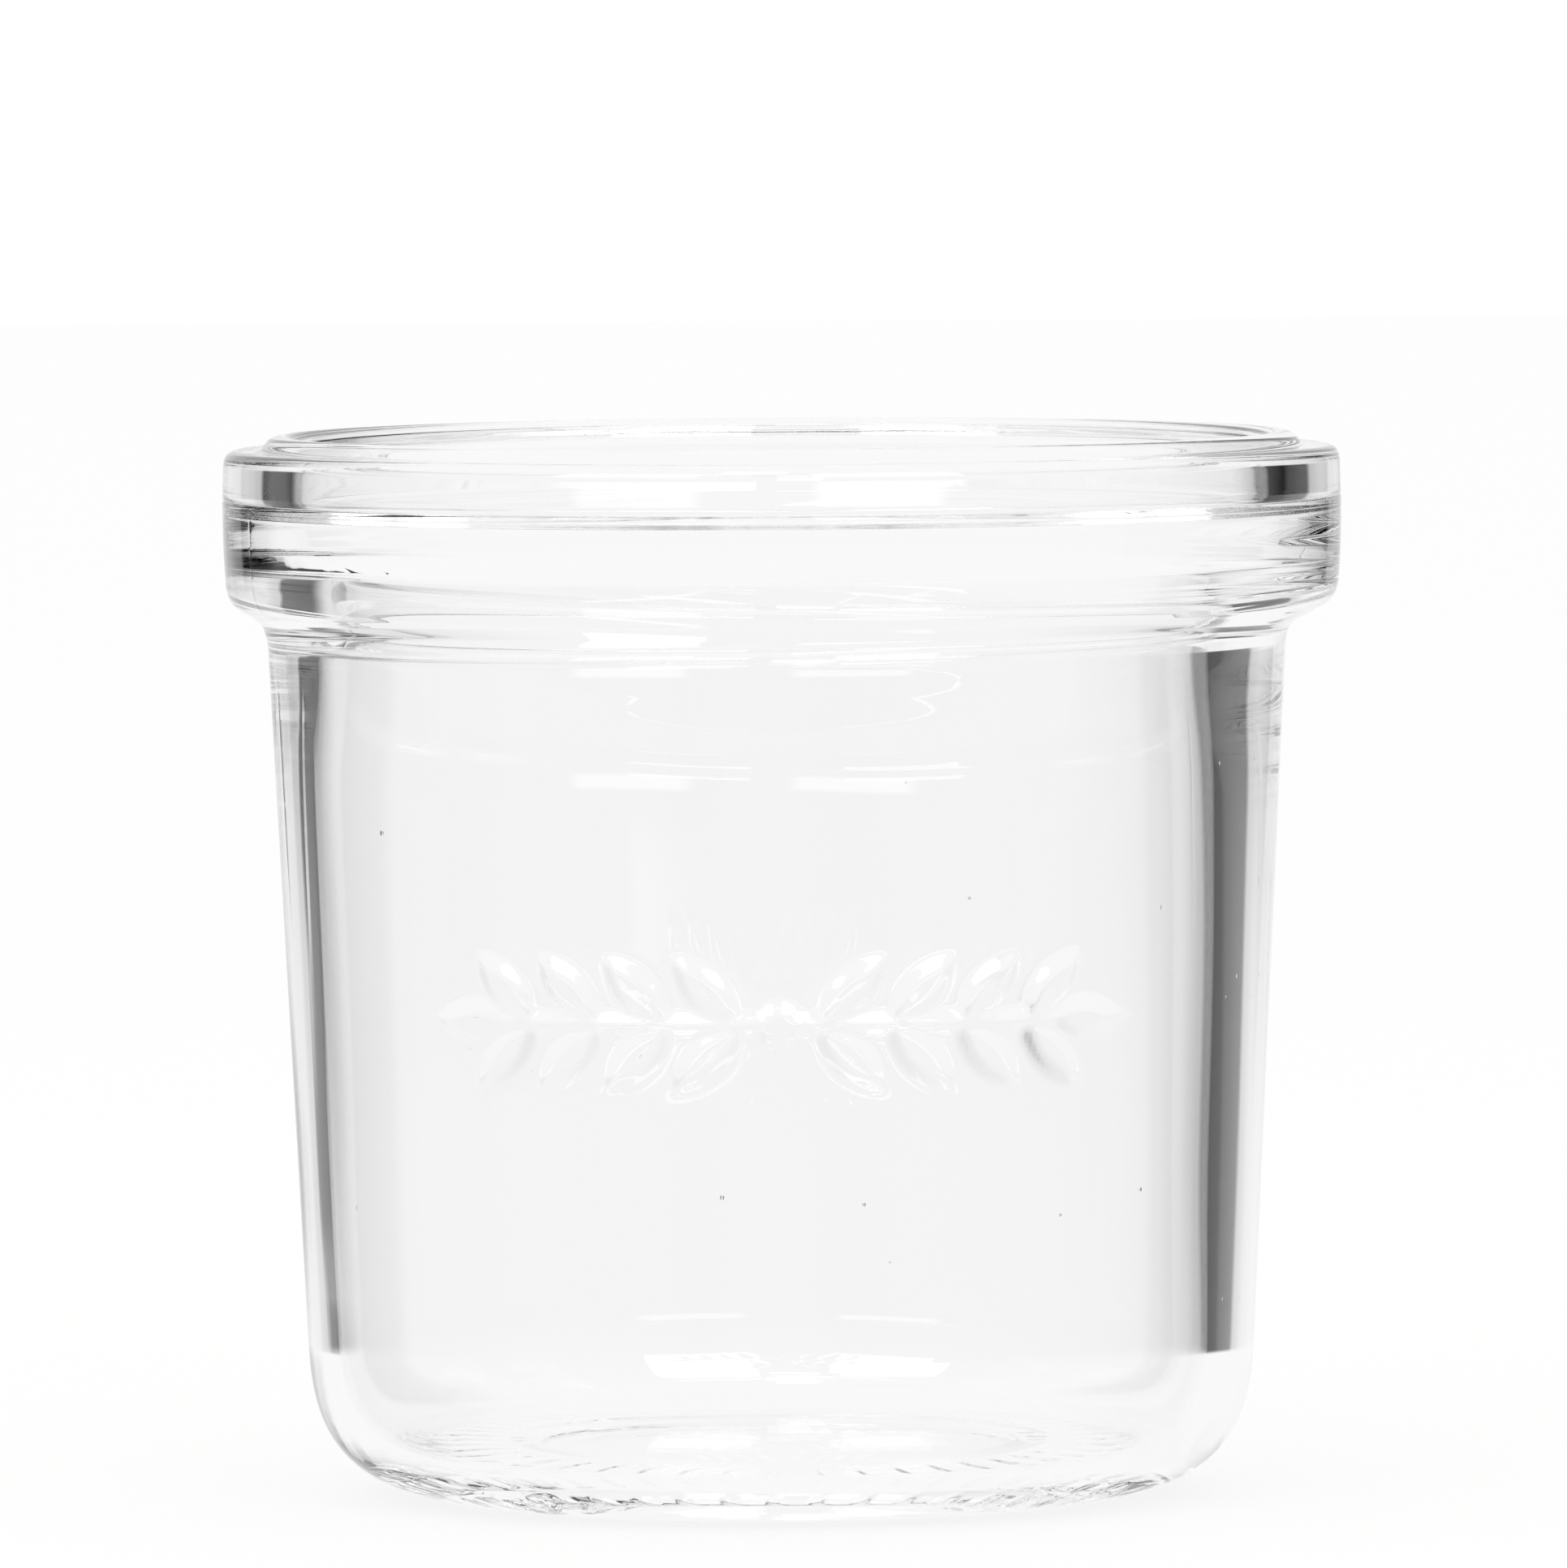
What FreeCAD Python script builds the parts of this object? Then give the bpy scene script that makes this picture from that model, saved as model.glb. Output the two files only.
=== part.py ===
import FreeCAD, Part
import math
import os

# A wide-mouth clip-top jar without its lid and wire: one piece of thick pressed clear glass.
# It is a turned body, a tapered wall under a heavy collar, with a raised sprig of leaves on
# the front of the wall. Millimetres, +Z up, the front faces -Y.
# The origin is on the axis of the outside, in the plane that the jar stands on.

# ---- driving dimensions ----

# Base: a shallow hollow under the middle, inside a flat ring that the jar stands on
HOLLOW_DEPTH = 1.6
HOLLOW_R = 22.0
BEARING_R_IN = 23.5
BEARING_R_OUT = 25.5

# Outside of the wall: a soft heel, then one straight taper up to the collar
HEEL_FLAT_PULL = 10.5
HEEL_WALL_PULL = 8.5
WALL_FOOT_R = 40.62
WALL_FOOT_Z = 12.5
WALL_TOP_R = 43.75
WALL_TOP_Z = 74.2

# Collar: a sloping underside, a side that is widest at the mould's parting line, a flat shoulder
# and a low sealing lip
NECK_FILLET = 1.3
COLLAR_FOOT_R = 47.1
COLLAR_FOOT_Z = 76.6
COLLAR_FOOT_ROUND = 1.0
COLLAR_LOW_R = 47.75
COLLAR_LOW_Z = 78.2
PARTING_R = 48.05
PARTING_Z = 85.7
PARTING_PULL = 4.5
COLLAR_TOP_R = 47.95
SHOULDER_Z = 90.1
SHOULDER_ROUND = 1.4
LIP_FOOT_R = 44.9
LIP_TOP_R_OUT = 44.4
LIP_TOP_R_IN = 43.0
HEIGHT = 91.3

# Inside: the mouth, a small step, the sloping throat, a slight waist, the chamber and the floor
MOUTH_ROUND = 0.9
MOUTH_R = 41.7
STEP_TOP_R = 41.85
STEP_TOP_Z = 85.3
STEP_FOOT_R = 41.25
STEP_FOOT_Z = 84.5
THROAT_R = 38.85
THROAT_Z = 80.3
WAIST_R = 38.1
WAIST_Z = 73.0
CHAMBER_R = 38.5
CHAMBER_Z = 62.0
CHAMBER_FOOT_R = 37.4
CHAMBER_FOOT_Z = 14.5
FLOOR_ROUND = 7.0
FLOOR_EDGE_Z = 4.0
FLOOR_CENTRE_Z = 3.8

# Sprig: a stem round the front of the wall with leaves in pairs, raised from the glass
SPRIG_Z = 43.0
SPRIG_RELIEF = 0.6
SPRIG_SINK = 1.0
STEM_HALF_LENGTH = 24.5
STEM_WIDTH = 1.2
LEAF_PAIRS_EACH_WAY = 4
LEAF_PITCH = 6.0
FIRST_LEAF = 3.4
LEAF_LENGTH = 7.4
LEAF_WIDTH = 2.8
LEAF_ANGLE = 46.0
LEAF_CROSSING = 0.3
END_LEAF_INSET = 1.0
BUD_R = 1.6


def point(radius, z):
    """A point of the half section, which lies in the XZ plane."""
    return FreeCAD.Vector(radius, 0, z)


def line(start, end):
    return Part.makeLine(point(*start), point(*end))


def arc(start, middle, end):
    return Part.Arc(point(*start), point(*middle), point(*end)).toShape()


def curve(*poles):
    """One Bezier curve through its first and last pole, pulled by those between."""
    bezier = Part.BezierCurve()
    bezier.setPoles([point(*pole) for pole in poles])
    return bezier.toShape()


def wall_radius(z):
    """Outside radius of the tapered wall at a height."""
    rise = (z - WALL_FOOT_Z) / (WALL_TOP_Z - WALL_FOOT_Z)
    return WALL_FOOT_R + rise * (WALL_TOP_R - WALL_FOOT_R)


def base_edges():
    """From the axis, over the hollow and the flat ring, round the heel to the foot of the wall."""
    hollow_mid = (HOLLOW_R / 2, HOLLOW_DEPTH * 0.8)
    hollow_edge = (HOLLOW_R, HOLLOW_DEPTH * 0.2)
    ring_in = (BEARING_R_IN, 0)
    ring_out = (BEARING_R_OUT, 0)
    taper = (WALL_TOP_R - WALL_FOOT_R) / (WALL_TOP_Z - WALL_FOOT_Z)
    return [
        arc((0, HOLLOW_DEPTH), hollow_mid, hollow_edge),
        line(hollow_edge, ring_in),
        line(ring_in, ring_out),
        curve(
            ring_out,
            (BEARING_R_OUT + HEEL_FLAT_PULL, 0),
            (WALL_FOOT_R - taper * HEEL_WALL_PULL, WALL_FOOT_Z - HEEL_WALL_PULL),
            (WALL_FOOT_R, WALL_FOOT_Z),
        ),
    ]


def collar_edges():
    """Up the wall, out under the collar, up its side and in over the shoulder to the lip."""
    wall_top = (wall_radius(WALL_TOP_Z - NECK_FILLET), WALL_TOP_Z - NECK_FILLET)
    under_start = (WALL_TOP_R + NECK_FILLET, WALL_TOP_Z + NECK_FILLET)
    under_end = (COLLAR_FOOT_R - COLLAR_FOOT_ROUND, COLLAR_FOOT_Z - COLLAR_FOOT_ROUND * 0.4)
    side_low = (COLLAR_LOW_R, COLLAR_LOW_Z)
    parting = (PARTING_R, PARTING_Z)
    side_top = (COLLAR_TOP_R, SHOULDER_Z - SHOULDER_ROUND)
    shoulder_out = (COLLAR_TOP_R - SHOULDER_ROUND, SHOULDER_Z)
    lip_foot = (LIP_FOOT_R, SHOULDER_Z)
    return [
        line((WALL_FOOT_R, WALL_FOOT_Z), wall_top),
        curve(wall_top, (WALL_TOP_R, WALL_TOP_Z + NECK_FILLET * 0.6), under_start),
        line(under_start, under_end),
        curve(under_end, (COLLAR_FOOT_R + 0.3, COLLAR_FOOT_Z), side_low),
        curve(side_low, (PARTING_R, PARTING_Z - PARTING_PULL), parting),
        line(parting, side_top),
        curve(side_top, (COLLAR_TOP_R, SHOULDER_Z), shoulder_out),
        line(shoulder_out, lip_foot),
        curve(lip_foot, (LIP_TOP_R_OUT, SHOULDER_Z), (LIP_TOP_R_OUT, HEIGHT), (LIP_TOP_R_IN, HEIGHT)),
    ]


def inside_edges():
    """From the lip down the mouth, the step, the throat and the chamber to the floor's centre."""
    mouth_top = (MOUTH_R, HEIGHT - MOUTH_ROUND * 1.4)
    step_top = (STEP_TOP_R, STEP_TOP_Z)
    step_foot = (STEP_FOOT_R, STEP_FOOT_Z)
    throat = (THROAT_R, THROAT_Z)
    chamber = (CHAMBER_R, CHAMBER_Z)
    chamber_foot = (CHAMBER_FOOT_R, CHAMBER_FOOT_Z)
    floor_edge = (CHAMBER_FOOT_R - FLOOR_ROUND, FLOOR_EDGE_Z)
    return [
        curve((LIP_TOP_R_IN, HEIGHT), (MOUTH_R, HEIGHT), mouth_top),
        line(mouth_top, step_top),
        curve(step_top, (STEP_TOP_R, STEP_TOP_Z - 0.4), (STEP_FOOT_R + 0.2, STEP_FOOT_Z + 0.3), step_foot),
        curve(step_foot, (STEP_FOOT_R - 0.6, STEP_FOOT_Z - 1.2), (THROAT_R + 0.4, THROAT_Z + 1.6), throat),
        curve(
            throat,
            (THROAT_R - 0.4, THROAT_Z - 1.6),
            (WAIST_R, WAIST_Z + 3),
            (WAIST_R, WAIST_Z),
            (WAIST_R, WAIST_Z - 3),
            (CHAMBER_R, CHAMBER_Z + 6),
            chamber,
        ),
        curve(chamber, (CHAMBER_R, CHAMBER_Z - 10), chamber_foot),
        curve(chamber_foot, (CHAMBER_FOOT_R, FLOOR_EDGE_Z), floor_edge),
        line(floor_edge, (0, FLOOR_CENTRE_Z)),
    ]


def glass_body():
    """The whole jar turned from its half section."""
    edges = base_edges() + collar_edges() + inside_edges()
    edges.append(line((0, FLOOR_CENTRE_Z), (0, HOLLOW_DEPTH)))
    section = Part.Face(Part.Wire(edges))
    return section.revolve(FreeCAD.Vector(0, 0, 0), FreeCAD.Vector(0, 0, 1), 360)


def sprig_skin():
    """The thin sleeve round the wall that the sprig's pieces are cut from."""
    low = SPRIG_Z - LEAF_LENGTH
    high = SPRIG_Z + LEAF_LENGTH
    section = Part.Face(Part.Wire([
        line((wall_radius(low) - SPRIG_SINK, low), (wall_radius(low) + SPRIG_RELIEF, low)),
        line((wall_radius(low) + SPRIG_RELIEF, low), (wall_radius(high) + SPRIG_RELIEF, high)),
        line((wall_radius(high) + SPRIG_RELIEF, high), (wall_radius(high) - SPRIG_SINK, high)),
        line((wall_radius(high) - SPRIG_SINK, high), (wall_radius(low) - SPRIG_SINK, low)),
    ]))
    return section.revolve(FreeCAD.Vector(0, 0, 0), FreeCAD.Vector(0, 0, 1), 360)


def on_the_front(outline, along):
    """A prism of a flat outline, standing out of the front and turned round to its place."""
    prism = Part.Face(outline).extrude(FreeCAD.Vector(0, 2 * WALL_FOOT_R / 3, 0))
    turn = math.degrees(along / wall_radius(SPRIG_Z))
    prism.rotate(FreeCAD.Vector(0, 0, 0), FreeCAD.Vector(0, 0, 1), turn)
    return prism


def leaf(along, angle):
    """A pointed leaf whose stalk is just across the stem, at an angle from the stem's direction."""
    front = -WALL_TOP_R - 2 * SPRIG_RELIEF
    lean = math.radians(angle)
    ahead = FreeCAD.Vector(math.cos(lean), 0, math.sin(lean))
    across = FreeCAD.Vector(-math.sin(lean), 0, math.cos(lean))
    stalk = FreeCAD.Vector(0, front, SPRIG_Z - math.copysign(LEAF_CROSSING, math.sin(lean)))
    tip = stalk + ahead * LEAF_LENGTH
    middle = stalk + ahead * (LEAF_LENGTH / 2)
    side = across * (LEAF_WIDTH / 2)
    outline = Part.Wire([
        Part.Arc(stalk, middle + side, tip).toShape(),
        Part.Arc(tip, middle - side, stalk).toShape(),
    ])
    return on_the_front(outline, along)


def bud():
    """The round bud in the middle of the sprig."""
    front = -WALL_TOP_R - 2 * SPRIG_RELIEF
    outline = Part.Wire(Part.makeCircle(BUD_R, FreeCAD.Vector(0, front, SPRIG_Z), FreeCAD.Vector(0, 1, 0)))
    return on_the_front(outline, 0)


def stem():
    """A level band round the front of the wall."""
    reach = math.degrees(STEM_HALF_LENGTH / wall_radius(SPRIG_Z))
    inner = WALL_FOOT_R * 2 / 3
    section = Part.makePlane(WALL_TOP_R, STEM_WIDTH, point(inner, SPRIG_Z - STEM_WIDTH / 2),
                             FreeCAD.Vector(0, -1, 0))
    section.rotate(FreeCAD.Vector(0, 0, 0), FreeCAD.Vector(0, 0, 1), -90 - reach)
    return section.revolve(FreeCAD.Vector(0, 0, 0), FreeCAD.Vector(0, 0, 1), 2 * reach)


def sprig():
    """The stem, its bud, the paired leaves each way and a leaf at each end, cut to the skin."""
    pieces = [bud()]
    for way, ahead in ((1, 0), (-1, 180)):
        for pair in range(LEAF_PAIRS_EACH_WAY):
            along = way * (FIRST_LEAF + pair * LEAF_PITCH)
            pieces.append(leaf(along, ahead + LEAF_ANGLE))
            pieces.append(leaf(along, ahead - LEAF_ANGLE))
        pieces.append(leaf(way * (STEM_HALF_LENGTH - END_LEAF_INSET), ahead))
    return stem().fuse(pieces).common(sprig_skin())


body = glass_body().fuse(sprig())
os.makedirs("parts", exist_ok=True)
body.exportStep("parts/jar.step")
print("valid", body.isValid(), "solids", len(body.Solids), "volume ml", round(body.Volume / 1000, 1))
print("glass kg", round(body.Volume * 2.5e-6, 3), "box", body.BoundBox)
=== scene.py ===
import math
import random

import bmesh
import bpy
from mathutils import Matrix, Vector, noise


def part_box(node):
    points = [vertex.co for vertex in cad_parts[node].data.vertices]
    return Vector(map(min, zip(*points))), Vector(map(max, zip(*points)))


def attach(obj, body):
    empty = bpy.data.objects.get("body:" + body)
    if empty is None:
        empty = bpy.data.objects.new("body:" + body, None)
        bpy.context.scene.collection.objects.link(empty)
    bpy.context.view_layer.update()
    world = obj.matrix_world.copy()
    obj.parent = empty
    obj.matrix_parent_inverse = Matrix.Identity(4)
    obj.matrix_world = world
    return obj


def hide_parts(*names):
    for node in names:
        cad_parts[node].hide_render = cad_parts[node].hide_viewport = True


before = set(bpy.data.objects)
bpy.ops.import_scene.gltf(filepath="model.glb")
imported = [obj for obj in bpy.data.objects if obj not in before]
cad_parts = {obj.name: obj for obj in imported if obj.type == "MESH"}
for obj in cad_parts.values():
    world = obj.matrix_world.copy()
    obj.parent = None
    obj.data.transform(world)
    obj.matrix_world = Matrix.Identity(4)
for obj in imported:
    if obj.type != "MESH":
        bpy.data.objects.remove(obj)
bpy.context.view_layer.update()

# A clip-top jar of thick pressed glass, empty and open, without its lid and wire. Metres, +Z up,
# the front faces -Y. The glass repeats the CAD solid's form and adds what the moulds and the
# plunger leave: an uneven wall, mould seams, knurling, slow waves and seeds.

MM = 0.001
_, high_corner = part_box("jar")

# ---- the jar's section, in millimetres: radii from the axis, heights from the table ----
# A pull is how far a curve's inner pole stands from the curve's end: outwards and upwards, or along.

# Base: a shallow hollow under the middle, inside a flat ring that the jar stands on
MIDDLE_R = 2.0
HOLLOW_DEPTH = 1.6
HOLLOW_LEVEL_R = 14.0
HOLLOW_R = 22.0
HOLLOW_EDGE_Z = 0.32
BEARING_R_IN = 23.5
BEARING_R_OUT = 25.5

# Outside of the wall: a soft heel, then one straight taper up to the collar
HEEL_FLAT_PULL = 10.5
HEEL_WALL_PULL = 8.5
WALL_FOOT_R = 40.62
WALL_FOOT_Z = 12.5
WALL_TOP_R = 43.75
WALL_TOP_Z = 74.2
WALL_TAPER = (WALL_TOP_R - WALL_FOOT_R) / (WALL_TOP_Z - WALL_FOOT_Z)

# Collar: a sloping underside, a side that is widest at the mould's parting line, a flat shoulder
# and a low sealing lip. Its widest radii are a hair under the solid's, to stay in its faceted box.
NECK_FILLET = 1.3
NECK_LOW = (WALL_TOP_R - WALL_TAPER * NECK_FILLET, WALL_TOP_Z - NECK_FILLET)
NECK_PULL = (0, 0.78)
COLLAR_FOOT_R = 47.1
COLLAR_FOOT_Z = 76.6
COLLAR_FOOT_ROUND = (-1.0, -0.4)
COLLAR_FOOT_PULL = (0.3, 0)
COLLAR_LOW_R = 47.75
COLLAR_LOW_Z = 78.2
PARTING_R = 48.03
PARTING_Z = 85.7
PARTING_PULL = (0, -4.5)
PARTING_GROOVE = 0.1
PARTING_WIDTH = 0.35
GROOVE_TOP_R = 48.01
COLLAR_TOP_R = 47.94
SHOULDER_Z = 90.1
SHOULDER_ROUND = 1.4
LIP_FOOT_R = 44.9
LIP_TOP_R_OUT = 44.4
LIP_TOP_R_IN = 43.0
RIM_Z = high_corner.z / MM

# Inside: the mouth, a small step, the sloping throat, a slight waist, the chamber and the floor
MOUTH_ROUND = 1.26
MOUTH_R = 41.7
STEP_TOP_R = 41.85
STEP_TOP_Z = 85.3
STEP_TOP_PULL = (0, -0.4)
STEP_FOOT_R = 41.25
STEP_FOOT_Z = 84.5
STEP_FOOT_PULL = (0.2, 0.3)
THROAT_TOP_PULL = (-0.7, -1.2)
THROAT_R = 38.85
THROAT_Z = 80.3
THROAT_FOOT_PULL = (0.8, 1.4)
NARROWS_PULL = (-0.4, -1.6)
WAIST_R = 38.1
WAIST_Z = 73.0
WAIST_PULL = 3.0
CHAMBER_R = 38.5
CHAMBER_Z = 62.0
CHAMBER_PULL_UP = (0, 6.0)
CHAMBER_PULL_DOWN = (0, -10.0)
CHAMBER_FOOT_R = 37.4
CHAMBER_FOOT_Z = 14.5
FLOOR_ROUND = 7.0
FLOOR_EDGE_Z = 4.0
FLOOR_CENTRE_Z = 3.8

# How far the plunger and the mould stood off the axis, in millimetres to the jar's left
BORE_OFFSET = 1.35
BORE_OFFSET_FOOT = 1.0
WALL_OFFSET = 0.5
WALL_OFFSET_FADE = 2.0

# ---- what the moulds and the plunger leave, in millimetres and degrees from the front ----

# Seams: fine ridges where the mould's halves meet, which fade out down the wall
WALL_SEAMS = (-78.6, 101.4)
COLLAR_SEAMS = (-70.4, 109.6)
SEAM_RELIEF = 0.02
SEAM_HALF_WIDTH = 0.35
SEAM_END_Z = 44.0
SEAM_FADE = 20.0
WALL_SEAM_TOP_Z = 70.0

# Knurls: small bowed crescents round the base. Bow, crest and edge are shares of their pitch.
KNURLS = 48
KNURL_DEPTH = 0.12
KNURL_R_IN = 24.5
KNURL_R_OUT = 29.5
KNURL_BOW = 0.225
KNURL_CREST = 0.02
KNURL_EDGE = 0.24

# Waves: slow and shallow, in the chamber alone
BORE_WAVE = 0.05
BORE_WAVE_LENGTH = 14.0
BORE_WAVE_FADE = 12.0

# Seeds: small bubbles, a little taller than wide. Each is an angle, a height and a radius.
SEED_DEPTH = 1.4
SEED_STRETCH = 1.5
SEEDS = [(-52.3, 58.5, 0.2), (-6.9, 28.5, 0.17), (10.0, 27.8, 0.14), (22.5, 53.4, 0.12), (48.4, 28.0, 0.16)]
SEEDS_ELSEWHERE = 14
SEED_TURNS = (60, 300)
SEED_HEIGHTS = (14, 72)
SEED_RADII = (0.08, 0.18)
CHANCE_START = 7

# ---- the sprig raised on the front, in millimetres and degrees ----

SPRIG_Z = 43.0
SPRIG_RELIEF = 0.6
SPRIG_EDGE = 0.85
STEM_HALF_LENGTH = 24.5
STEM_WIDTH = 1.2
LEAF_PAIRS_EACH_WAY = 4
LEAF_PITCH = 6.0
FIRST_LEAF = 3.4
LEAF_LENGTH = 7.4
LEAF_WIDTH = 2.8
LEAF_ANGLE = 46.0
END_LEAF_INSET = 1.0
BUD_R = 1.6

# ---- columns of points round the jar, with angles in degrees ----

SPRIG_HALF_ANGLE = 43
SPRIG_COLUMNS = 150
OTHER_COLUMNS = 180
SEAM_COLUMNS_EACH_WAY = 2
SEAM_STEP = 0.23


def between(start, end, share):
    return start + (end - start) * share


def smooth_step(low, high, value):
    share = min(max((value - low) / (high - low), 0), 1)
    return share * share * (3 - 2 * share)


def pulled(place, pull):
    """A place moved outwards and upwards by a pull."""
    return (place[0] + pull[0], place[1] + pull[1])


def straight(start, end, rows):
    """Points from start up to, and without, end."""
    return [
        (between(start[0], end[0], row / rows), between(start[1], end[1], row / rows))
        for row in range(rows)
    ]


def curve(poles, rows):
    """Points along one Bezier curve, without its last one."""
    points = []
    for row in range(rows):
        level = [Vector(pole) for pole in poles]
        while len(level) > 1:
            level = [between(a, b, row / rows) for a, b in zip(level, level[1:])]
        points.append((level[0].x, level[0].y))
    return points


def wall_radius(z):
    """The outer wall's radius, which grows by a straight taper."""
    return WALL_FOOT_R + WALL_TAPER * (z - WALL_FOOT_Z)


def base_section():
    """From beside the middle, over the hollow and the flat ring, round the heel to the wall."""
    hollow_edge = (HOLLOW_R, HOLLOW_EDGE_Z)
    ring_in = (BEARING_R_IN, 0)
    ring_out = (BEARING_R_OUT, 0)
    wall_foot = (WALL_FOOT_R, WALL_FOOT_Z)
    heel_flat = (BEARING_R_OUT + HEEL_FLAT_PULL, 0)
    heel_wall = (WALL_FOOT_R - WALL_TAPER * HEEL_WALL_PULL, WALL_FOOT_Z - HEEL_WALL_PULL)
    points = curve([(MIDDLE_R, HOLLOW_DEPTH), (HOLLOW_LEVEL_R, HOLLOW_DEPTH), hollow_edge], rows=8)
    points += straight(hollow_edge, ring_in, rows=3)
    points += straight(ring_in, ring_out, rows=3)
    points += curve([ring_out, heel_flat, heel_wall, wall_foot], rows=26)
    return points


def wall_section():
    """Up the tapered wall, with rows close together where the sprig is."""
    sprig_low = SPRIG_Z - LEAF_LENGTH
    sprig_high = SPRIG_Z + LEAF_LENGTH
    wall_foot = (WALL_FOOT_R, WALL_FOOT_Z)
    under_sprig = (wall_radius(sprig_low), sprig_low)
    over_sprig = (wall_radius(sprig_high), sprig_high)
    points = straight(wall_foot, under_sprig, rows=9)
    points += straight(under_sprig, over_sprig, rows=40)
    points += straight(over_sprig, NECK_LOW, rows=9)
    return points


def collar_section():
    """Out under the collar, up its side with the parting line, and over the shoulder and lip."""
    neck = (WALL_TOP_R, WALL_TOP_Z)
    neck_high = (WALL_TOP_R + NECK_FILLET, WALL_TOP_Z + NECK_FILLET)
    foot = (COLLAR_FOOT_R, COLLAR_FOOT_Z)
    under_end = pulled(foot, COLLAR_FOOT_ROUND)
    side_low = (COLLAR_LOW_R, COLLAR_LOW_Z)
    parting = (PARTING_R, PARTING_Z)
    groove = (PARTING_R - PARTING_GROOVE, PARTING_Z + PARTING_WIDTH / 2)
    groove_top = (GROOVE_TOP_R, PARTING_Z + PARTING_WIDTH)
    side_top = (COLLAR_TOP_R, SHOULDER_Z - SHOULDER_ROUND)
    shoulder_out = (COLLAR_TOP_R - SHOULDER_ROUND, SHOULDER_Z)
    lip_foot = (LIP_FOOT_R, SHOULDER_Z)
    lip_out = [(LIP_TOP_R_OUT, SHOULDER_Z), (LIP_TOP_R_OUT, RIM_Z)]
    points = curve([NECK_LOW, pulled(neck, NECK_PULL), neck_high], rows=8)
    points += straight(neck_high, under_end, rows=4)
    points += curve([under_end, pulled(foot, COLLAR_FOOT_PULL), side_low], rows=7)
    points += curve([side_low, pulled(parting, PARTING_PULL), parting], rows=16)
    points += straight(parting, groove, rows=2)
    points += straight(groove, groove_top, rows=2)
    points += straight(groove_top, side_top, rows=4)
    points += curve([side_top, (COLLAR_TOP_R, SHOULDER_Z), shoulder_out], rows=9)
    points += straight(shoulder_out, lip_foot, rows=3)
    points += curve([lip_foot, *lip_out, (LIP_TOP_R_IN, RIM_Z)], rows=12)
    return points


def inside_section():
    """From the lip's top down the mouth, the throat and the chamber to beside the floor's middle."""
    mouth_top = (MOUTH_R, RIM_Z - MOUTH_ROUND)
    step_top = (STEP_TOP_R, STEP_TOP_Z)
    step_foot = (STEP_FOOT_R, STEP_FOOT_Z)
    throat = (THROAT_R, THROAT_Z)
    waist = (WAIST_R, WAIST_Z)
    waist_pulls = [pulled(waist, (0, WAIST_PULL)), waist, pulled(waist, (0, -WAIST_PULL))]
    chamber = (CHAMBER_R, CHAMBER_Z)
    chamber_foot = (CHAMBER_FOOT_R, CHAMBER_FOOT_Z)
    floor_edge = (CHAMBER_FOOT_R - FLOOR_ROUND, FLOOR_EDGE_Z)
    points = curve([(LIP_TOP_R_IN, RIM_Z), (MOUTH_R, RIM_Z), mouth_top], rows=8)
    points += straight(mouth_top, step_top, rows=6)
    points += curve([
        step_top,
        pulled(step_top, STEP_TOP_PULL),
        pulled(step_foot, STEP_FOOT_PULL),
        step_foot,
    ], rows=8)
    points += curve([
        step_foot,
        pulled(step_foot, THROAT_TOP_PULL),
        pulled(throat, THROAT_FOOT_PULL),
        throat,
    ], rows=12)
    points += curve([
        throat,
        pulled(throat, NARROWS_PULL),
        *waist_pulls,
        pulled(chamber, CHAMBER_PULL_UP),
        chamber,
    ], rows=26)
    points += curve([chamber, pulled(chamber, CHAMBER_PULL_DOWN), chamber_foot], rows=20)
    points += curve([chamber_foot, (CHAMBER_FOOT_R, FLOOR_EDGE_Z), floor_edge], rows=18)
    points += straight(floor_edge, (MIDDLE_R, FLOOR_CENTRE_Z), rows=8)
    return points


def leaf_depth(along, up, stalk, degrees):
    """How far a point on the wall is inside a pointed leaf, in millimetres; less than 0 is outside."""
    angle = math.radians(degrees)
    half_length = LEAF_LENGTH / 2
    half_width = LEAF_WIDTH / 2
    radius = (half_length ** 2 + half_width ** 2) / (2 * half_width)
    ahead = (along - stalk) * math.cos(angle) + up * math.sin(angle) - half_length
    across = -(along - stalk) * math.sin(angle) + up * math.cos(angle)
    return radius - math.hypot(ahead, abs(across) + radius - half_width)


def sprig_depth(along, up):
    """The same for the whole sprig: the deepest of its bud, stem and leaves."""
    deepest = BUD_R - math.hypot(along, up)
    if abs(along) < STEM_HALF_LENGTH:
        deepest = max(deepest, STEM_WIDTH / 2 - abs(up))
    for pair in range(LEAF_PAIRS_EACH_WAY):
        stalk = FIRST_LEAF + pair * LEAF_PITCH
        deepest = max(deepest, leaf_depth(abs(along), abs(up), stalk, LEAF_ANGLE))
    return max(deepest, leaf_depth(abs(along), abs(up), STEM_HALF_LENGTH - END_LEAF_INSET, 0))


def sprig_relief(angle, radius, z):
    """How far the sprig stands out of the wall, with the soft shoulders of pressed glass."""
    if abs(z - SPRIG_Z) >= LEAF_LENGTH:
        return 0
    depth = sprig_depth(angle * radius, z - SPRIG_Z)
    return SPRIG_RELIEF * smooth_step(-SPRIG_EDGE, SPRIG_EDGE, depth)


def seam_relief(angle, radius, z):
    """The height of the fine ridge where the mould's halves meet."""
    if COLLAR_FOOT_Z < z < PARTING_Z:
        seams = COLLAR_SEAMS
    elif WALL_FOOT_Z < z < WALL_SEAM_TOP_Z:
        seams = WALL_SEAMS
    else:
        return 0
    away = min(abs(angle - math.radians(seam)) * radius for seam in seams)
    fading = smooth_step(SEAM_END_Z, SEAM_END_Z + SEAM_FADE, z)
    return SEAM_RELIEF * fading * smooth_step(SEAM_HALF_WIDTH, 0, away)


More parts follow.
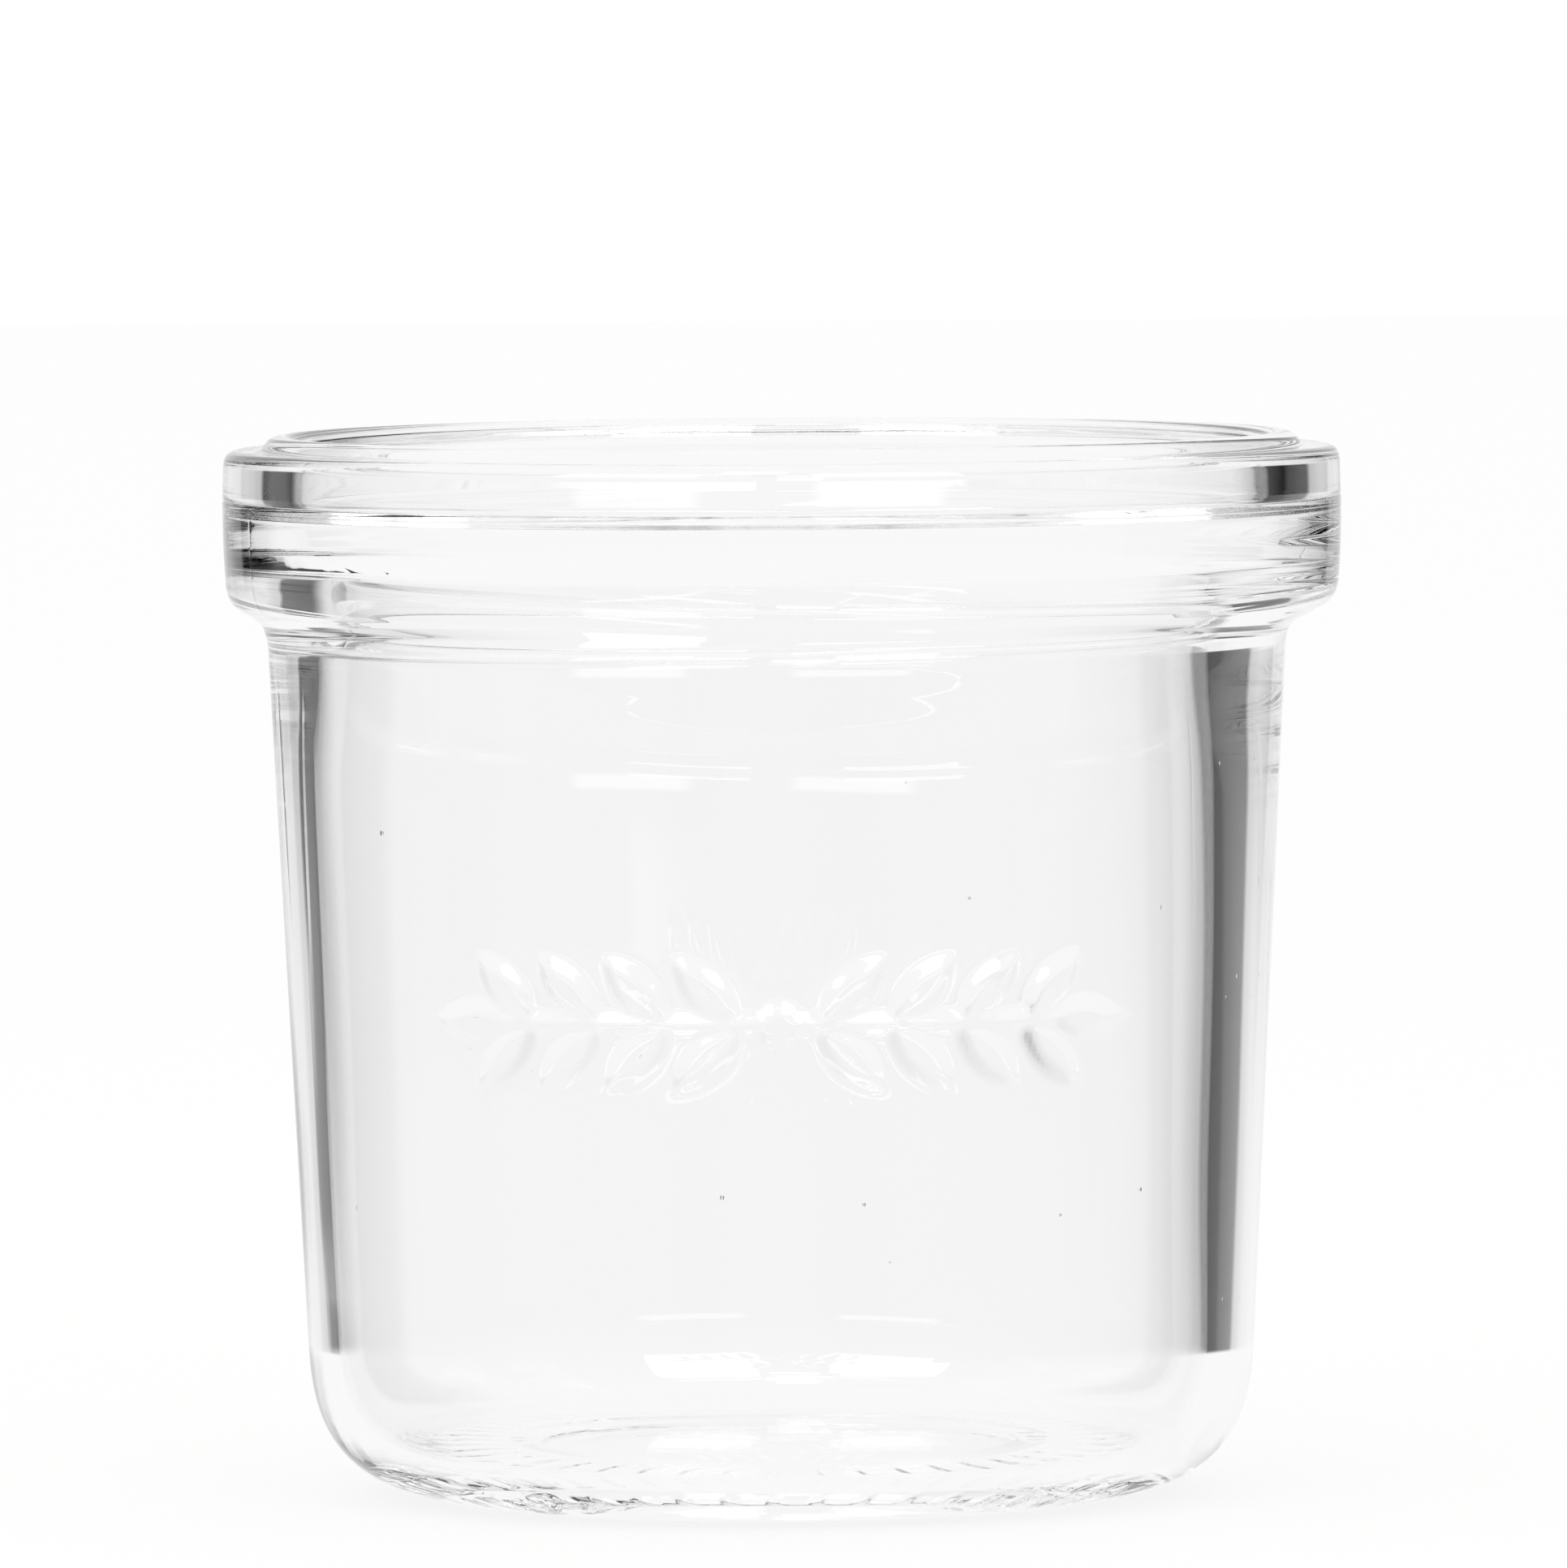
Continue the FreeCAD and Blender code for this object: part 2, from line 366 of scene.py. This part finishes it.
def knurl_rise(angle, radius):
    """The depth of the small crescents pressed round the base, which keep it from sliding."""
    if not KNURL_R_IN < radius < KNURL_R_OUT:
        return 0
    along = (radius - KNURL_R_IN) / (KNURL_R_OUT - KNURL_R_IN)
    bow = 4 * along * (1 - along) * KNURL_BOW
    place = angle / (2 * math.pi) * KNURLS + bow
    off_middle = abs(place - round(place))
    return KNURL_DEPTH * smooth_step(KNURL_EDGE, KNURL_CREST, off_middle) * math.sin(math.pi * along)


def bore_wave(angle, z):
    """The slow unevenness that the plunger leaves as the glass chills, twice as long upwards."""
    turn = CHAMBER_R / BORE_WAVE_LENGTH
    place = Vector((math.sin(angle) * turn, math.cos(angle) * turn, z / (2 * BORE_WAVE_LENGTH)))
    above_foot = smooth_step(CHAMBER_FOOT_Z, CHAMBER_FOOT_Z + BORE_WAVE_FADE, z)
    below_waist = smooth_step(WAIST_Z, CHAMBER_Z, z)
    return BORE_WAVE * noise.noise(place) * (above_foot * below_waist)


def bore_offset(z):
    """How far the bore stands off the axis: most at the waist, and not at all in the mouth."""
    lean = between(BORE_OFFSET_FOOT, BORE_OFFSET, smooth_step(0, WAIST_Z, z))
    return -lean * (1 - smooth_step(WAIST_Z, THROAT_Z, z))


def wall_offset(z):
    """The same for the outer wall. The collar is true."""
    return -WALL_OFFSET * (1 - smooth_step(WALL_TOP_Z, WALL_TOP_Z + WALL_OFFSET_FADE, z))


def azimuths():
    """Angles round the jar from the front, close together at the sprig and at the seams."""
    sprig_half = math.radians(SPRIG_HALF_ANGLE)
    rest = 2 * math.pi - 2 * sprig_half
    angles = [between(-sprig_half, sprig_half, i / SPRIG_COLUMNS) for i in range(SPRIG_COLUMNS)]
    angles += [sprig_half + rest * (i + 0.5) / OTHER_COLUMNS for i in range(OTHER_COLUMNS)]
    for seam in WALL_SEAMS + COLLAR_SEAMS:
        for step in range(-SEAM_COLUMNS_EACH_WAY, SEAM_COLUMNS_EACH_WAY + 1):
            angles.append(math.radians(seam % 360 + step * SEAM_STEP))
    return sorted((angle + math.pi) % (2 * math.pi) - math.pi for angle in angles)


def turned(angle, radius, z, offset):
    """A point at an angle from the front, in metres."""
    return ((radius * math.sin(angle) + offset) * MM, -radius * math.cos(angle) * MM, z * MM)


def outside_ring(radius, z, angles):
    """A ring of points round the outside, with its knurls, seams and sprig."""
    points = []
    for angle in angles:
        relief = seam_relief(angle, radius, z) + sprig_relief(angle, radius, z)
        rise = knurl_rise(angle, radius)
        points.append(turned(angle, radius + relief, z + rise, wall_offset(z)))
    return points


def inside_ring(radius, z, angles):
    """A ring of points round the bore or the floor, with the plunger's waves."""
    return [turned(angle, radius + bore_wave(angle, z), z, bore_offset(z)) for angle in angles]


def pressed_glass_jar():
    """The whole jar as one closed mesh, with the seeds as hollows in it."""
    angles = azimuths()
    columns = len(angles)
    vertices = []
    for radius, z in base_section() + wall_section() + collar_section():
        vertices += outside_ring(radius, z, angles)
    for radius, z in inside_section():
        vertices += inside_ring(radius, z, angles)
    last_row = len(vertices) - columns
    faces = []
    for row in range(0, last_row, columns):
        for column in range(columns):
            beside = (column + 1) % columns
            above = row + columns
            faces.append((row + column, row + beside, above + beside, above + column))
    base_middle = len(vertices)
    floor_middle = base_middle + 1
    vertices.append((-WALL_OFFSET * MM, 0, HOLLOW_DEPTH * MM))
    vertices.append((-BORE_OFFSET_FOOT * MM, 0, FLOOR_CENTRE_Z * MM))
    for column in range(columns):
        beside = (column + 1) % columns
        faces.append((base_middle, beside, column))
        faces.append((floor_middle, last_row + column, last_row + beside))
    mesh = bpy.data.meshes.new("pressed_glass")
    mesh.from_pydata(vertices, [], faces)
    enclose_seeds(mesh)
    mesh.shade_smooth()
    mesh.update()
    return mesh


def strewn_seeds():
    """The seeds at the sides and the back, at random but the same each time."""
    chance = random.Random(CHANCE_START)
    return [
        (chance.uniform(*SEED_TURNS), chance.uniform(*SEED_HEIGHTS), chance.uniform(*SEED_RADII))
        for _ in range(SEEDS_ELSEWHERE)
    ]


def enclose_seeds(mesh):
    """Small bubbles left in the wall. Each is a closed hollow, so its faces look inwards."""
    body = bmesh.new()
    body.from_mesh(mesh)
    for turn, height, radius in SEEDS + strewn_seeds():
        out = wall_radius(height) - SEED_DEPTH
        place = turned(math.radians(turn), out, height, -WALL_OFFSET)
        size = Matrix.Diagonal((radius * MM, radius * MM, radius * MM * SEED_STRETCH, 1))
        where = Matrix.Translation(place) @ size
        made = bmesh.ops.create_icosphere(body, subdivisions=2, radius=1, matrix=where)
        hollow = {face for vertex in made["verts"] for face in vertex.link_faces}
        bmesh.ops.reverse_faces(body, faces=list(hollow))
    body.to_mesh(mesh)
    body.free()


def linear(code):
    """A colour written as sRGB hex, in the linear values that sockets take, with alpha."""
    channels = [int(code[i:i + 2], 16) / 255 for i in (1, 3, 5)]
    return [c / 12.92 if c <= 0.04045 else ((c + 0.055) / 1.055) ** 2.4 for c in channels] + [1]


def into_scene(name, data):
    """A new object with its name and data, in the scene."""
    thing = bpy.data.objects.new(name, data)
    bpy.context.scene.collection.objects.link(thing)
    return thing


def add(tree, kind, settings=None, links=None, values=None):
    """A node with its settings, the links into it and its plain socket values."""
    node = tree.nodes.new(kind)
    for name, value in (settings or {}).items():
        setattr(node, name, value)
    for name, value in (values or {}).items():
        node.inputs[name].default_value = value
    for name, output in (links or {}).items():
        tree.links.new(output, node.inputs[name])
    return node


def fresh_tree(owner):
    """The emptied node tree of a material or a world."""
    owner.use_nodes = True
    owner.node_tree.nodes.clear()
    return owner.node_tree


def clear_glass():
    """Soda-lime glass, pressed and fire-polished: colourless, with a mirror-smooth skin that
    shows sharp reflections, and thick enough to bend what is seen through its edges."""
    material = bpy.data.materials.new("pressed_soda_lime_glass")
    tree = fresh_tree(material)
    shader = add(tree, "ShaderNodeBsdfPrincipled", values={
        "Base Color": linear("#FFFFFF"),
        "Roughness": 0.0,
        "IOR": 1.52,
        "Transmission Weight": 1.0,
    })
    add(tree, "ShaderNodeOutputMaterial", links={"Surface": shader.outputs[0]})
    return material


# ---- the studio: a level of 1 is white, and angles are in degrees ----

# What the glass sees round it, from one side of the front to the other: each level lasts up to
# an angle from straight behind the jar, to the right, and turns into the next over a soft edge
FRONT_LEVEL = 0.75
SURROUNDINGS = (
    # level, up to, soft edge
    (FRONT_LEVEL, -105.0, 20.0),
    (0.72, -50.0, 8.0),
    (0.01, -31.2, 3.0),
    (0.6, -25.0, 8.0),
    (0.84, -14.0, 12.0),
    (0.92, 12.0, 12.0),
    (0.82, 21.0, 8.0),
    (0.6, 26.5, 3.5),
    (0.01, 58.0, 10.0),
    (0.68, 105.0, 20.0),
    (FRONT_LEVEL, 180.0, 0.0),
)
CEILING_LEVEL = 0.9
CEILING_START = 34.0
CEILING_END = 54.0
TABLE_LEVEL = 0.95
TABLE_START = -5.6
TABLE_END = -3.8
# Two far windows, low in front of the jar, which give it its soft square lights
WINDOWS = ((-161.0, -133.0), (143.5, 172.0))
WINDOW_LEVEL = 2.6
WINDOW_SIDE_EDGE = 5.0
WINDOW_LOW = 1.2
WINDOW_HIGH = 2.95
WINDOW_TOP_EDGE = 0.7


def soft_step(tree, value, middle, width):
    """0 below an angle and 1 above it, turning over a soft edge."""
    step = add(tree, "ShaderNodeMapRange", {"interpolation_type": "SMOOTHSTEP"}, {"Value": value}, {
        "From Min": math.radians(middle - width / 2),
        "From Max": math.radians(middle + width / 2),
    })
    return step.outputs[0]


def soft_band(tree, value, start, end, edge):
    """1 between two angles and 0 outside them."""
    begun = soft_step(tree, value, start, edge)
    ended = soft_step(tree, value, end, edge)
    return add(tree, "ShaderNodeMath", {"operation": "SUBTRACT"}, {0: begun, 1: ended}).outputs[0]


def room_level(tree, turn, rise):
    """How bright the room is where the glass looks: screens, ceiling, table and windows."""
    level = add(tree, "ShaderNodeValue").outputs[0]
    level.default_value = SURROUNDINGS[0][0]
    for (_, end, width), (beyond, _, _) in zip(SURROUNDINGS, SURROUNDINGS[1:]):
        passed = soft_step(tree, turn, end, width)
        level = add(tree, "ShaderNodeMapRange", links={"Value": passed, "To Min": level},
                    values={"To Max": beyond}).outputs[0]
    up = soft_step(tree, rise, (CEILING_START + CEILING_END) / 2, CEILING_END - CEILING_START)
    level = add(tree, "ShaderNodeMapRange", links={"Value": up, "To Min": level},
                values={"To Max": CEILING_LEVEL}).outputs[0]
    over = soft_step(tree, rise, (TABLE_START + TABLE_END) / 2, TABLE_END - TABLE_START)
    level = add(tree, "ShaderNodeMapRange", links={"Value": over, "To Max": level},
                values={"To Min": TABLE_LEVEL}).outputs[0]
    high = soft_band(tree, rise, WINDOW_LOW, WINDOW_HIGH, WINDOW_TOP_EDGE)
    for start, end in WINDOWS:
        wide = soft_band(tree, turn, start, end, WINDOW_SIDE_EDGE)
        pane = add(tree, "ShaderNodeMath", {"operation": "MULTIPLY"}, {0: high, 1: wide}).outputs[0]
        level = add(tree, "ShaderNodeMapRange", links={"Value": pane, "To Min": level},
                    values={"To Max": WINDOW_LEVEL}).outputs[0]
    return level


def studio_world():
    """White to the camera and as light on the table; to the glass, the studio's screens and room."""
    world = bpy.data.worlds.new("studio")
    bpy.context.scene.world = world
    tree = fresh_tree(world)
    direction = add(tree, "ShaderNodeTexCoord").outputs["Generated"]
    split = add(tree, "ShaderNodeSeparateXYZ", links={"Vector": direction})
    turn = add(tree, "ShaderNodeMath", {"operation": "ARCTAN2"},
               {0: split.outputs["X"], 1: split.outputs["Y"]}).outputs[0]
    rise = add(tree, "ShaderNodeMath", {"operation": "ARCSINE"}, {0: split.outputs["Z"]}).outputs[0]
    path = add(tree, "ShaderNodeLightPath")
    plain = add(tree, "ShaderNodeMath", {"operation": "MAXIMUM"},
                {0: path.outputs["Is Camera Ray"], 1: path.outputs["Is Diffuse Ray"]}).outputs[0]
    room = room_level(tree, turn, rise)
    strength = add(tree, "ShaderNodeMapRange", links={"Value": plain, "To Min": room},
                   values={"To Max": 1.0}).outputs[0]
    light = add(tree, "ShaderNodeBackground", links={"Strength": strength},
                values={"Color": linear("#FFFFFF")})
    add(tree, "ShaderNodeOutputWorld", links={"Surface": light.outputs[0]})


TABLE_R = 4.0
TABLE_SIDES = 96
TABLE_GLOW = 0.85


def white_laminate():
    """Matt white laminate. Its own glow keeps it white, and its lit share keeps the jar's shadow.
    The glass sees through it to the level that the world gives below its edge."""
    material = bpy.data.materials.new("matt_white_laminate")
    tree = fresh_tree(material)
    path = add(tree, "ShaderNodeLightPath")
    lit = add(tree, "ShaderNodeBsdfDiffuse", values={"Color": linear("#F4F4F2")}).outputs[0]
    glow = add(tree, "ShaderNodeEmission", values={"Strength": 1.0}).outputs[0]
    clear = add(tree, "ShaderNodeBsdfTransparent").outputs[0]
    seen = add(tree, "ShaderNodeMath", {"operation": "MULTIPLY"},
               {0: path.outputs["Is Camera Ray"]}, {1: TABLE_GLOW}).outputs[0]
    plain = add(tree, "ShaderNodeMixShader", links={0: seen, 1: lit, 2: glow}).outputs[0]
    by_glass = add(tree, "ShaderNodeMath", {"operation": "MAXIMUM"},
                   {0: path.outputs["Is Glossy Ray"], 1: path.outputs["Is Transmission Ray"]}).outputs[0]
    surface = add(tree, "ShaderNodeMixShader", links={0: by_glass, 1: plain, 2: clear}).outputs[0]
    add(tree, "ShaderNodeOutputMaterial", links={"Surface": surface})
    return material


def pale_table():
    """A round table top that reaches far behind the jar."""
    turns = [2 * math.pi * i / TABLE_SIDES for i in range(TABLE_SIDES)]
    edge = [(TABLE_R * math.cos(turn), TABLE_R * math.sin(turn), 0) for turn in turns]
    mesh = bpy.data.meshes.new("table_top")
    mesh.from_pydata(edge, [], [tuple(range(TABLE_SIDES))])
    mesh.materials.append(white_laminate())
    into_scene("table_top", mesh)


SOFTBOX_DISTANCE = 0.9
SOFTBOXES = (
    # name, angle from the front, height, size of its face, level
    ("left_softbox", -33, 0.61, (0.50, 0.52), 2.4),
    ("right_softbox", 22.3, 0.61, (0.50, 0.52), 2.4),
    ("middle_softbox", -6.6, 1.2, (0.26, 0.8), 2.2),
)


def softbox(name, degrees, height, size, level):
    """A soft rectangular light in front of the jar, whose face has the given level."""
    light = bpy.data.lights.new(name, "AREA")
    light.shape = "RECTANGLE"
    light.size = size[0]
    light.size_y = size[1]
    light.energy = level * math.pi * size[0] * size[1]
    lamp = into_scene(name, light)
    turn = math.radians(degrees)
    out = Vector((math.sin(turn), -math.cos(turn), 0))
    lamp.location = out * SOFTBOX_DISTANCE + Vector((0, 0, height))
    lamp.rotation_euler = (-out).to_track_quat("-Z", "Y").to_euler()
    lamp.visible_camera = False


CAMERA_DISTANCE = 1.55
CAMERA_HEIGHT = 0.140
CAMERA_AIM_Z = 0.0611
CAMERA_ROLL = 0.36
SEEN_WIDTH = 0.1345645


def stand_camera():
    """A long lens in front, a little above the rim and tipped down, that leans a touch sideways.
    It sees SEEN_WIDTH across at the jar's distance."""
    data = bpy.data.cameras.new("camera")
    data.lens = data.sensor_width * CAMERA_DISTANCE / SEEN_WIDTH
    camera = into_scene("camera", data)
    camera.location = (0, -CAMERA_DISTANCE, CAMERA_HEIGHT)
    sight = Vector((0, 0, CAMERA_AIM_Z)) - camera.location
    camera.rotation_euler = sight.to_track_quat("-Z", "Y").to_euler()
    camera.rotation_euler.rotate_axis("Z", math.radians(-CAMERA_ROLL))
    bpy.context.scene.camera = camera


jar = into_scene("glass_jar", pressed_glass_jar())
jar.data.materials.append(clear_glass())
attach(jar, "root")
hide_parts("jar")

studio_world()
pale_table()
for box in SOFTBOXES:
    softbox(*box)
stand_camera()

# Thick glass passes light on many times inside itself before it lets it out
MOST_BOUNCES = 32
GLASS_BOUNCES = 24
bpy.context.scene.cycles.max_bounces = MOST_BOUNCES
bpy.context.scene.cycles.glossy_bounces = GLASS_BOUNCES
bpy.context.scene.cycles.transmission_bounces = GLASS_BOUNCES

bpy.context.scene.view_settings.view_transform = "Standard"
